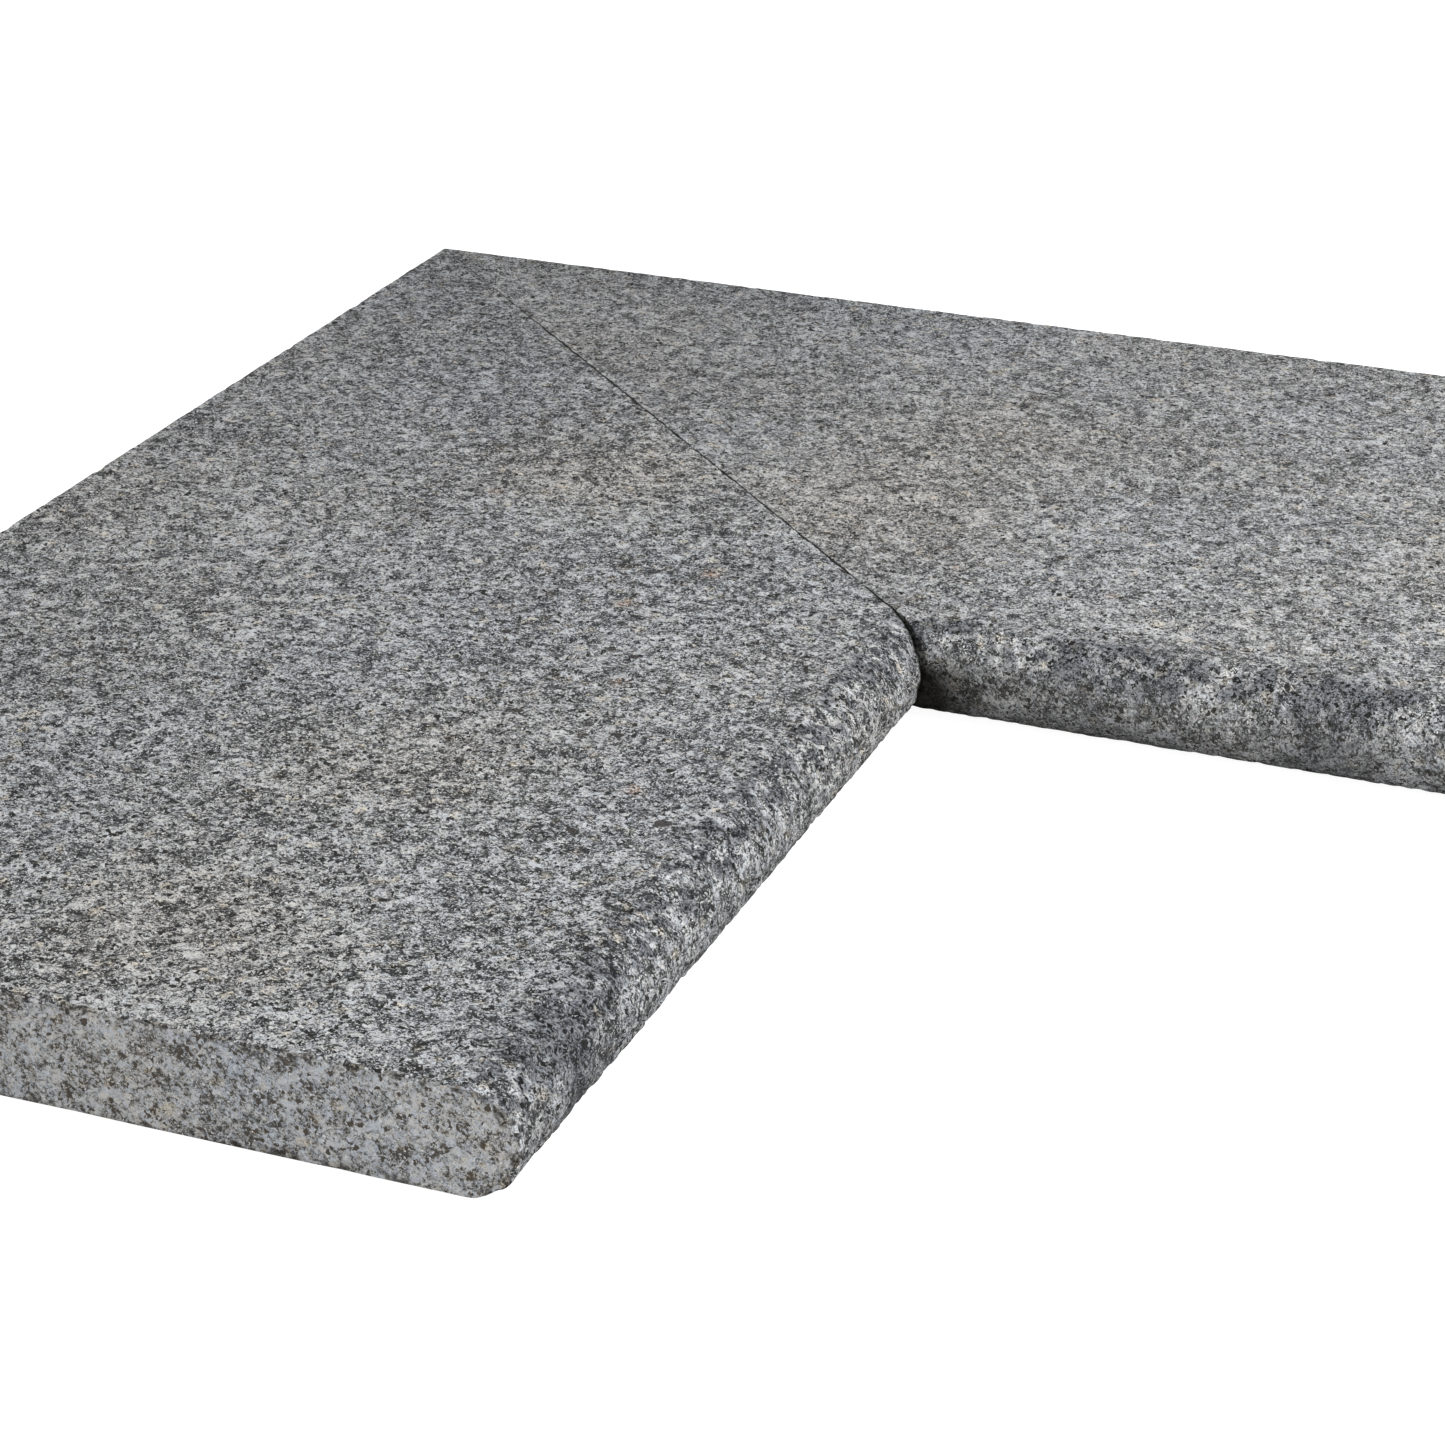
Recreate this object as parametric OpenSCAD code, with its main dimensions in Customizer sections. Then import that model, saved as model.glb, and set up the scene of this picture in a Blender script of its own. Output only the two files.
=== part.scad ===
// Corner of two granite coping slabs, mitred to meet at a right angle.
// The back edges are sawn square and the inner edges carry a full bullnose.
// X runs along the right-hand slab, Y along the left-hand slab, and Z is up from the bed.
// The origin is on the bed plane, where the nose lines of the two slabs cross.

/* [Slab] */
// Depth of each slab, from its back edge to the tip of its nose
slab_depth = 300; // [250:10:400]
// Length of each slab along its back edge
slab_length = 600; // [500:10:1000]
// Thickness of each slab, which is also the diameter of its nose
slab_thickness = 30; // [20:1:50]

/* [Mitre] */
// Width of the open joint between the two mitre faces
joint_gap = 0.5; // [0.3:0.1:5]

/* [Hidden] */

// Radius of the half-round nose
nose_radius = slab_thickness / 2;
// Facets of the nose in a preview
nose_facets = 96;
// Stone that the blank has beyond the corner before the mitre is cut
cutting_allowance = 10;
// Side of the block that cuts the mitre, which reaches past the back corner each way
cutter_size = 2 * (slab_length + slab_depth);
// How far the mitre cutter reaches past the bed and the top
cutter_overhang = 5;
// Colour of the stone
granite_grey = [0.55, 0.57, 0.59];

// Section of a slab: a square back, flat faces and a half-round nose that ends at x = 0
module slab_section() {
    translate([-slab_depth, 0])
        square([slab_depth - nose_radius, slab_thickness]);
    translate([-nose_radius, nose_radius])
        circle(r = nose_radius, $fn = nose_facets);
}

// Slab as it leaves the edge polisher, with both of its ends still square
module slab_blank() {
    translate([0, slab_depth + cutting_allowance, 0])
        rotate([90, 0, 0])
            linear_extrude(height = slab_length + cutting_allowance)
                slab_section();
}

// Everything beyond the mitre plane y = -x, moved back by half the joint
module mitre_cutter() {
    rotate([0, 0, 45])
        translate([-joint_gap / 2, -cutter_size / 2, -cutter_overhang])
            cube([cutter_size, cutter_size, slab_thickness + 2 * cutter_overhang]);
}

// Slab with a square end at the front and the mitre at the back
module mitred_slab() {
    difference() {
        slab_blank();
        mitre_cutter();
    }
}

// Root stone, laid along Y with its nose facing +X
module left_slab() {
    color(granite_grey)
        mitred_slab();
}

// The same cut handed across the mitre plane, laid along X with its nose facing -Y
module right_slab() {
    color(granite_grey)
        mirror([1, 1, 0])
            mitred_slab();
}

left_slab();
right_slab();
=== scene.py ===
# Corner of two granite coping slabs: flamed tops and noses, sawn backs, ends, mitres and beds.
import math

import bpy
import numpy as np
from mathutils import Matrix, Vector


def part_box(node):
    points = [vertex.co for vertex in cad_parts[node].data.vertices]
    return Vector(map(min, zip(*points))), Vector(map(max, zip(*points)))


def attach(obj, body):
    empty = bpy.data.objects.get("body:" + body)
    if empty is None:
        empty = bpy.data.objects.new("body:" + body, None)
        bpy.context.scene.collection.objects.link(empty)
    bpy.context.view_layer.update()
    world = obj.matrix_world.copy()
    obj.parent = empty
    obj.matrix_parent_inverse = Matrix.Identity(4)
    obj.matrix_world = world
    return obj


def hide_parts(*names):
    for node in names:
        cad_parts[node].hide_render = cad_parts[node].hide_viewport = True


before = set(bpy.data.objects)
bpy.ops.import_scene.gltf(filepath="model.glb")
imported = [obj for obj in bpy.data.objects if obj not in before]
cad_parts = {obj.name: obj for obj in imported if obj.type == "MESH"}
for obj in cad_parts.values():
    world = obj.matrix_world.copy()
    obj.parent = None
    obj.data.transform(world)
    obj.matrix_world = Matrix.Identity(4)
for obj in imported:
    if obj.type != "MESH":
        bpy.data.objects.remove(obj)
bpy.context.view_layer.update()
print("frame loaded:", ", ".join(sorted(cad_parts)))

# camera
cameraView = {
    "place": (0.3091, -0.9785, 0.4640),  # metres, from where the nose lines cross on the bed
    "turn": 20.91,  # degrees to the left of +Y
    "dip": 24.38,  # degrees below level
    "roll": 0.64,
    "lens": 91.8,  # mm, on a 36 mm sensor
}

cameraData = bpy.data.cameras.new("slabCamera")
cameraData.sensor_width = 36.0
cameraData.lens = cameraView["lens"]
cameraObject = bpy.data.objects.new("slabCamera", cameraData)
aim = Matrix.Rotation(math.radians(cameraView["turn"]), 4, "Z")
aim = aim @ Matrix.Rotation(math.radians(90.0 - cameraView["dip"]), 4, "X")
aim = aim @ Matrix.Rotation(math.radians(cameraView["roll"]), 4, "Z")
cameraObject.matrix_world = Matrix.Translation(cameraView["place"]) @ aim
bpy.context.scene.collection.objects.link(cameraObject)
bpy.context.scene.camera = cameraObject
bpy.context.scene.view_settings.view_transform = "Standard"
print("camera placed")

# stone shape
# Points round a slab's section and rows along its run. The flamed faces get the closest points.
slabGrid = {
    "back": 10,
    "arris": 4,
    "top": 168,
    "topPacking": 1.12,
    "nose": 44,
    "bed": 46,
    "run": 316,
    "endRing": 4,
    "arrisRows": (0.0, 0.0009, 0.0022, 0.0040),  # shares of the run, where the rows beside an arris lie
    "runRows": (0.0060, 0.9960),  # and the first and last of the even rows between them
}

slabWear = {
    "noseRelief": 0.00026,  # spread of the flamed surface on the nose, in metres
    "topRelief": 0.00013,
    "sawnRelief": 0.00003,
    "lump": (0.007, 0.026),  # shortest and longest wave of the soft lumps
    "lumpWaves": 70,
    "lumpShare": 0.4,
    "spall": (0.0032, 0.0075),  # and of the flaked grain between them
    "spallWaves": 90,
    "spallShare": 1.1,
    "spallTop": 0.9,  # the flaked grain is cut off level at this height
    "noseReach": 1.15,  # how early the wear over the nose ends, and how flat its crest is
    "noseCrest": 0.7,
    "backArris": 0.0005,  # radius the back arrises are eased to
    "endArris": 0.00045,  # and the arris of the sawn end
    "mitreArris": 0.00016,  # and the arris of the mitre across the top
    "mitreNose": 0.0016,  # extra wear of the mitre over the nose
    "tightFrom": 0.215,  # how far back from the nose line the joint starts to close up
    "tightOver": 0.05,  # over what stretch it does so
    "tighter": 0.00018,  # by how much
    "tightArris": 0.7,  # share by which the mitre's arris is less worn there
    "tightShadeSilt": 0.6,  # and share by which less silt and painted shade lie there
    "chipDepth": 0.0011,
    "chipWave": (0.004, 0.016),
    "chipWaves": 40,
    "sawnChips": (0.5, 1.3),  # wave height at which chips begin, and the deepest above it
    "mitreChips": (1.1, 1.0),
    "mitreChipShare": 0.25,
    "backChips": (0.8, 1.2),
    "backChipShare": 0.6,
    "capRings": (0.0012, 0.0030, 0.0060),  # how far in from the outline the flat ends keep more points
    "arrisFade": (1.0, 0.95, 0.80, 0.0),  # how broken the arris looks at its edge and at each of those rings
    "arrisReach": 0.0055,  # share of the run over which it fades the other way
}

# film, dirt and painted shade, by how far round the nose they lie: 0 where the nose leaves the top, 1 at the
# bed
slabDirtAndShade = {
    "filmWaves": 60,
    "filmEven": 0.50,
    "filmPatchy": 0.7,
    "filmMost": 1.6,
    "filmSteps": (0.0, 0.07, 0.13, 0.25, 0.40, 1.0),
    "filmShares": (0.2, 0.85, 1.0, 0.85, 0.25, 0.25),
    "topFilmFrom": 0.95,  # share of the way across the top where the film begins
    "topFilm": 0.2,
    "lowFrom": 0.24,  # where the low part of the nose begins, and over what stretch it grows to full
    "lowOver": 0.20,
    "underFrom": 0.42,
    "underOver": 0.30,
    # painted shade low on the nose, falling off from the mitre; silt and painted shade in the joint, at its
    # lip and deeper in
    "shadeSiltFall": 1.3,
    "lipDepth": 0.002,  # how far into the joint the lip goes
    "lipShadeSilt": (0.85, 0.5),  # silt and painted shade at the mouth of the joint and at the foot of the lip
    "deepShadeSilt": 0.2,
}


def waveField(points, waveRange, waves, seed):
    # a sum of cosines, each with its own random heading, wavelength and phase, scaled to a spread of 1
    rng = np.random.default_rng(seed)
    heading = rng.normal(size=(waves, 3))
    heading /= np.linalg.norm(heading, axis=1, keepdims=True)
    wavelength = np.exp(rng.uniform(np.log(waveRange[0]), np.log(waveRange[1]), waves))
    phase = rng.uniform(0.0, 2.0 * np.pi, waves)
    total = np.zeros(points.shape[:-1])
    for k in range(waves):
        total += np.cos(points @ (heading[k] * 2.0 * np.pi / wavelength[k]) + phase[k])
    return total / np.sqrt(waves / 2.0)


def softSpots(x, y, spots):
    # each spot is (x, y, radius, strength) and fades as a bell curve of the distance to its middle
    total = np.zeros_like(x)
    for spotX, spotY, radius, strength in spots:
        total += strength * np.exp(-((x - spotX) ** 2 + (y - spotY) ** 2) / radius ** 2)
    return total


def scatteredSpots(scatter, depth, start, seed):
    # spots drawn evenly between the limits of the scatter: each lies at a share of the depth back from
    # the nose line, and at a share of the run from the sawn end to the mitre there
    rng = np.random.default_rng(seed)
    count = scatter["count"]
    x = -depth * rng.uniform(*scatter["behind"], count)
    along = rng.uniform(*scatter["along"], count)
    y = start * (1.0 - along) - x * along
    radius = rng.uniform(*scatter["radius"], count)
    strength = rng.uniform(*scatter["strength"], count)
    return np.stack([x, y, radius, strength], axis=-1)


def sectionSteps(grid):
    # how far along each stretch of the section its points lie, from 0 up to but not reaching 1; a
    # cosine packs them towards the arrises on the back and the bed, and a power towards the back
    # on the top
    names = ("back", "upperArris", "top", "nose", "bed", "lowerArris")
    counts = (grid["back"], grid["arris"], grid["top"], grid["nose"], grid["bed"], grid["arris"])
    steps = {}
    first = 0
    for name, count in zip(names, counts):
        t = np.arange(count) / count
        if name in ("back", "bed"):
            t = 0.5 - 0.5 * np.cos(np.pi * t)
        if name == "top":
            t = t ** grid["topPacking"]
        steps[name] = (slice(first, first + count), t)
        first += count
    return steps, first


def sectionPoints(steps, inset, upperWorn, lowerWorn, depth, thick):
    # up the back, round its upper arris, across the top, half a circle round the nose, back along
    # the bed and round the lower arris; every point is drawn in by its own inset
    r = thick / 2.0
    leastArris = 0.00005
    x = np.empty_like(inset)
    z = np.empty_like(inset)
    upper = np.maximum(upperWorn - inset, leastArris)
    lower = np.maximum(lowerWorn - inset, leastArris)

    part, t = steps["back"]
    drawn, upperHere, lowerHere = inset[:, part], upper[:, part], lower[:, part]
    x[:, part] = -depth + drawn
    z[:, part] = (drawn + lowerHere) * (1.0 - t) + (thick - drawn - upperHere) * t

    part, t = steps["upperArris"]
    drawn, upperHere = inset[:, part], upper[:, part]
    turn = np.pi * (1.0 - 0.5 * t)
    x[:, part] = -depth + drawn + upperHere * (1.0 + np.cos(turn))
    z[:, part] = thick - drawn - upperHere * (1.0 - np.sin(turn))

    part, t = steps["top"]
    drawn, upperHere = inset[:, part], upper[:, part]
    x[:, part] = (-depth + drawn + upperHere) * (1.0 - t) - r * t
    z[:, part] = thick - drawn

    part, t = steps["nose"]
    drawn = inset[:, part]
    turn = np.pi * (0.5 - t)
    x[:, part] = -r + (r - drawn) * np.cos(turn)
    z[:, part] = r + (r - drawn) * np.sin(turn)

    part, t = steps["bed"]
    drawn, lowerHere = inset[:, part], lower[:, part]
    x[:, part] = -r * (1.0 - t) + (-depth + drawn + lowerHere) * t
    z[:, part] = drawn

    part, t = steps["lowerArris"]
    drawn, lowerHere = inset[:, part], lower[:, part]
    turn = np.pi * (-0.5 - 0.5 * t)
    x[:, part] = -depth + drawn + lowerHere * (1.0 + np.cos(turn))
    z[:, part] = drawn + lowerHere * (1.0 + np.sin(turn))
    return x, z


def chipsOf(wave, limits):
    # how deep the chips are: the wave's height above where chips begin, up to the deepest
    begin, deepest = limits
    return np.clip(wave - begin, 0.0, deepest)


def flamedShare(steps, count):
    # 1 on the top and the nose, 0 on the bed and the back, with straight ramps between them
    share = np.zeros(count)
    part, t = steps["upperArris"]
    share[part] = 0.5 * t
    share[steps["top"][0]] = 1.0
    share[steps["top"][0].start] = 0.6
    part, t = steps["nose"]
    share[part] = np.clip((1.02 - t) / 0.14, 0.0, 1.0)
    return share


def buildSlab(stone, grid, wear, dirtAndShade):
    # a grid of rows along the run and points round the section, with each end rounded over
    # a quarter circle and closed by one flat face
    low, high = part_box(stone["node"])
    if stone["handed"]:
        low, high = (-high[1], -high[0], low[2]), (-low[1], -low[0], high[2])
    depth, thick = high[0] - low[0], high[2] - low[2]
    setBack = depth - high[1]  # how far the mitre stands back from the line y = -x
    steps, around = sectionSteps(grid)

    # the rows: rings on the flat end, the rounded arris, the run, and the same again at the mitre
    capRings = np.array(wear["capRings"])
    arcRing = np.linspace(0.0, np.pi / 2.0, grid["endRing"] + 1)[1:]
    ring = np.concatenate([arcRing, np.full(len(capRings), np.pi / 2.0)])
    inward = np.concatenate([np.zeros(len(arcRing)), capRings])
    nearBits = np.array(grid["arrisRows"])
    middle = np.linspace(*grid["runRows"], grid["run"])
    along = np.concatenate([np.zeros(len(ring)), nearBits, middle, 1.0 - nearBits[::-1], np.ones(len(ring))])
    rest = np.zeros(len(along) - len(ring))
    sawnRing = np.concatenate([ring[::-1], rest])[:, None]
    mitreRing = np.concatenate([rest, ring])[:, None]
    sawnInward = np.concatenate([inward[::-1], rest])[:, None]
    mitreInward = np.concatenate([rest, inward])[:, None]
    along = along[:, None]

    # first pass on the bare section, to know where each point lies before the relief
    bare = np.zeros((len(along), around))
    x, z = sectionPoints(steps, bare, np.full((len(along), 1), wear["backArris"]),
                         np.full((len(along), 1), wear["backArris"]), depth, thick)
    y = low[1] * (1.0 - along) + (-x - setBack) * along
    place = np.stack([x, y, z], axis=-1)

    flamed = flamedShare(steps, around)
    nosePart, noseStep = steps["nose"]
    overNose = np.zeros(around)
    overNose[nosePart] = np.sin(np.pi * np.clip(noseStep * wear["noseReach"], 0.0, 1.0)) ** wear["noseCrest"]
    spread = wear["topRelief"] + (wear["noseRelief"] - wear["topRelief"]) * np.clip(overNose * 2.0, 0.0, 1.0)
    lumps = waveField(place, wear["lump"], wear["lumpWaves"], stone["seed"])
    spalls = waveField(place, wear["spall"], wear["spallWaves"], stone["seed"] + 1)
    flakes = wear["spallShare"] * np.minimum(spalls, wear["spallTop"])
    relief = (wear["lumpShare"] * lumps + flakes) * stone["relief"] * spread * flamed
    relief += lumps * wear["sawnRelief"] * (1.0 - flamed)

    # chips along the arrises, read from a wave field at the bare corner of each end
    chipSawn = waveField(place[:1], wear["chipWave"], wear["chipWaves"], stone["seed"] + 2)
    chipMitre = waveField(place[-1:], wear["chipWave"], wear["chipWaves"], stone["seed"] + 3)
    chipRows = waveField(place[:, :1], wear["chipWave"], wear["chipWaves"], stone["seed"] + 4)
    sawnWorn = wear["endArris"] * (0.8 + 0.3 * flamed)
    sawnWorn = sawnWorn + wear["chipDepth"] * chipsOf(chipSawn, wear["sawnChips"]) * (0.25 + 0.75 * flamed)
    mitreWorn = wear["mitreArris"] + wear["mitreNose"] * overNose
    mitreChips = wear["mitreChipShare"] * wear["chipDepth"] * chipsOf(chipMitre, wear["mitreChips"])
    mitreWorn = mitreWorn + mitreChips
    backWorn = wear["backChipShare"] * wear["chipDepth"] * chipsOf(chipRows, wear["backChips"])
    backWorn = wear["backArris"] + backWorn

    inset = sawnWorn * (1.0 - np.cos(sawnRing)) + mitreWorn * (1.0 - np.cos(mitreRing)) - relief
    inset = inset + sawnInward + mitreInward
    x, z = sectionPoints(steps, inset, backWorn, np.full_like(backWorn, wear["backArris"]), depth, thick)
    start = low[1] + sawnWorn * (1.0 - np.sin(sawnRing))
    towardsBack = np.clip((-x - wear["tightFrom"]) / wear["tightOver"], 0.0, 1.0)
    finish = -x - setBack + wear["tighter"] * towardsBack
    lessWorn = 1.0 - wear["tightArris"] * towardsBack
    finish = finish - math.sqrt(2.0) * mitreWorn * lessWorn * (1.0 - np.sin(mitreRing))
    y = start * (1.0 - along) + finish * along
    z = np.maximum(z, 0.0)  # nothing below the bed

    # broken arris: full at the sawn end's outline, fading on to the flat end and on to the run
    fadeIn = np.interp(sawnInward, (0.0, *wear["capRings"]), wear["arrisFade"])
    broken = fadeIn * np.clip(1.0 - along / wear["arrisReach"], 0.0, 1.0) + np.zeros_like(x)

    # film: thickest on the shoulder, in patches; painted shade low on the nose in the corner and under the
    # nose near the mitre; silt and painted shade in the joint
    patches = waveField(place, stone["filmWave"], dirtAndShade["filmWaves"], stone["seed"] + 5)
    patches = np.clip(dirtAndShade["filmEven"] + dirtAndShade["filmPatchy"] * patches, 0.0, dirtAndShade["filmMost"])
    shoulder = np.zeros(around)
    shoulder[nosePart] = np.interp(noseStep, dirtAndShade["filmSteps"], dirtAndShade["filmShares"])
    topPart, topStep = steps["top"]
    reached = (topStep - dirtAndShade["topFilmFrom"]) / (1.0 - dirtAndShade["topFilmFrom"])
    shoulder[topPart] = dirtAndShade["topFilm"] * np.clip(reached, 0.0, 1.0)
    filmAndShade = stone["filmAndShade"] * shoulder * patches
    lowNose = np.zeros(around)
    lowNose[nosePart] = np.clip((noseStep - dirtAndShade["lowFrom"]) / dirtAndShade["lowOver"], 0.0, 1.0)
    underNose = np.zeros(around)
    underNose[nosePart] = np.clip((noseStep - dirtAndShade["underFrom"]) / dirtAndShade["underOver"], 0.0, 1.0)
    fromMitre = np.clip(finish - y, 0.0, None)
    # painted shade: darker low on the nose and under it, close to the mitre
    shadeAndSilt = stone["shadeAndSilt"] * np.exp(-(fromMitre / stone["shadeSiltReach"]) ** dirtAndShade["shadeSiltFall"])
    shadeAndSilt = lowNose * shadeAndSilt + underNose * stone["underShade"] * np.exp(-fromMitre / stone["underShadeReach"])
    # silt and painted shade in the joint, less towards the back
    lip = np.interp(mitreInward, (0.0, dirtAndShade["lipDepth"]), dirtAndShade["lipShadeSilt"])
    inJoint = np.where(mitreRing > 0.0, lip, 0.0) * (1.0 - wear["tightShadeSilt"] * towardsBack)
    shadeAndSilt = np.where(mitreInward > dirtAndShade["lipDepth"], dirtAndShade["deepShadeSilt"], np.maximum(shadeAndSilt, inJoint))
    onCap = (sawnInward + mitreInward) > 0.0
    filmAndShade = np.where(onCap, 0.0, filmAndShade)

    # shade added to the film: darker patches on the shoulder, and painted shade darkening the top towards
    # the back corner at the mitre; and the small marks, each kind scattered by its own seed
    onTop = (z > 0.5 * thick) & ~onCap
    shade = softSpots(x, y, scatteredSpots(stone["noseShade"], depth, low[1], stone["seed"] + 6))
    shade = shade + softSpots(x, y, [(-depth, depth, *stone["cornerShade"])])
    filmAndShade = filmAndShade + shade * flamed * ~onCap
    mark = onTop * softSpots(x, y, scatteredSpots(stone["brownMarks"], depth, low[1], stone["seed"] + 7))
    rust = softSpots(x, y, scatteredSpots(stone["rustMarks"], depth, low[1], stone["seed"] + 8))
    rust = (z > 0.7 * thick) * ~onCap * rust
    warmth = onTop * softSpots(x, y, scatteredSpots(stone["warmZones"], depth, low[1], stone["seed"] + 9))
    dust = stone["dust"] * lowNose * ~onCap + np.zeros_like(x)

    if stone["handed"]:
        x, y = -y, -x
    points = np.stack([x, y, z], axis=-1).reshape(-1, 3)

    rows = len(along)
    i, j = np.meshgrid(np.arange(rows - 1), np.arange(around), indexing="ij")
    k = (j + 1) % around
    quads = np.stack([i * around + j, i * around + k, (i + 1) * around + k, (i + 1) * around + j], axis=-1)
    quads = quads.reshape(-1, 4)
    sawnCap = np.arange(around)[::-1]
    mitreCap = (rows - 1) * around + np.arange(around)
    if stone["handed"]:
        quads = quads[:, ::-1]
        sawnCap, mitreCap = sawnCap[::-1], mitreCap[::-1]

    mesh = bpy.data.meshes.new(stone["name"])
    mesh.from_pydata(points, [], quads.tolist() + [sawnCap.tolist(), mitreCap.tolist()])
    mesh.update()

    # flamed faces take the first finish, sawn faces the second
    onEnd = ((sawnInward[:-1] > 0.0) | (mitreInward[1:] > 0.0)) & (j >= 0)
    sawnFace = np.concatenate([((flamed[j] < 0.3) | onEnd).reshape(-1), [True, True]])
    mesh.polygons.foreach_set("material_index", sawnFace.astype(np.int32))
    smooth = np.ones(len(mesh.polygons), dtype=bool)
    smooth[-2:] = False
    mesh.polygons.foreach_set("use_smooth", smooth)
    mesh.update()

    # the film attribute also carries painted shade, and the silt attribute the painted shade in the corner
    # and the joint
    fields = {"filmAndShade": filmAndShade, "shadeAndSilt": shadeAndSilt, "broken": broken, "rust": rust, "warmth": warmth,
              "mark": mark, "dust": dust}
    for label, field in fields.items():
        layer = mesh.attributes.new(label, "FLOAT", "POINT")
        layer.data.foreach_set("value", field.reshape(-1).astype(np.float32))

    slab = bpy.data.objects.new(stone["name"], mesh)
    bpy.context.scene.collection.objects.link(slab)
    print(stone["name"], "built,", 2 * len(quads), "triangles")
    return slab


# granite finishes
# Greys run from black mica to white feldspar. The shares say how far each scale of the stone moves
# a point along that run.
flamedLook = {
    "crystal": 0.0028,  # size of the large crystals, in metres
    "grain": 0.0014,
    "crumb": 0.00075,
    "speck": 0.00042,
    "cluster": 0.0070,
    "patch": 0.085,
    "crystalShare": 0.36,
    "grainShare": 0.36,
    "crumbShare": 0.32,
    "speckShare": 0.66,
    "clusterShare": 0.95,
    "patchShare": 0.25,
    "greys": ((0.06, (0.030, 0.031, 0.032)), (0.28, (0.095, 0.097, 0.097)), (0.50, (0.250, 0.253, 0.255)),
              (0.72, (0.470, 0.473, 0.480)), (0.96, (0.700, 0.702, 0.705))),
    "coolTint": (0.93, 0.985, 1.065),
    "warmTint": (1.05, 1.00, 0.92),
    "grainTint": 0.55,
    "patchTint": 0.9,
    "micaChance": 0.07,
    "bookChance": 0.05,
    "micaColour": (0.030, 0.029, 0.027),
    "glintChance": 0.07,
    "flake": 0.0011,
    "flakeDepth": 0.0010,
    "beigeChance": 0.04,
    "beigeTint": (1.06, 1.00, 0.90),
    "inclusion": 0.012,  # spacing of the dark inclusions, and how large the largest are beside it
    "inclusionReach": 0.30,
    "inclusionColour": (0.042, 0.035, 0.030),
    "bumpDepth": 0.0005,
    "roughness": (0.55, 0.85),
}

sawnLook = {
    "crystal": 0.0026,
    "grain": 0.0012,
    "crumb": 0.0010,
    "speck": 0.0004,
    "cluster": 0.0056,
    "patch": 0.045,
    "crystalShare": 0.18,
    "grainShare": 0.25,
    "crumbShare": 0.32,
    "speckShare": 0.46,
    "clusterShare": 1.0,
    "patchShare": 0.25,
    "greys": ((0.10, (0.085, 0.077, 0.066)), (0.27, (0.210, 0.205, 0.192)), (0.42, (0.350, 0.353, 0.352)),
              (0.60, (0.465, 0.474, 0.489)), (0.92, (0.620, 0.628, 0.640))),
    "coolTint": (0.92, 0.98, 1.08),
    "warmTint": (1.06, 1.00, 0.91),
    "grainTint": 0.7,
    "patchTint": 1.1,
    "micaChance": 0.02,
    "bookChance": 0.03,
    "micaColour": (0.095, 0.080, 0.066),
    "glintChance": 0.03,
    "flake": 0.0009,
    "flakeDepth": 0.00015,
    "beigeChance": 0.05,
    "beigeTint": (1.06, 1.00, 0.90),
    "inclusion": 0.014,
    "inclusionReach": 0.36,
    "inclusionColour": (0.075, 0.060, 0.048),
    "bumpDepth": 0.00012,
    "roughness": (0.50, 0.72),
}


# marks, dirt and painted shade in the finish, the same on both finishes
stainsAndShade = {
    "glintColour": (0.76, 0.76, 0.76),
    "inclusionCrumble": 0.16,  # how far the crumbs eat into an inclusion's outline
    "inclusionShare": 0.9,  # the rest is stone showing through
    "rustLimits": (0.05, 0.55),  # strength at which rust begins, and at which it is full
    "rustTint": (1.05, 0.68, 0.45),
    # colour of the film, which also darkens the painted shade
    "filmShadeColour": (0.40, 0.41, 0.435),
    "dustColour": (0.190, 0.180, 0.155),
    # colour of the silt and of the painted shade in the corner and the joint
    "shadeSiltColour": (0.055, 0.050, 0.040),
    "breakSize": 0.0040,
    "breakLimits": (1.47, 1.58),
    "breakShare": 0.8,
    "brownCrumbs": (0.62, (0.040, 0.036, 0.030)),
    "beigeCrumbs": (0.97, (0.430, 0.390, 0.330)),
    "sheen": 0.15,
}


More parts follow.
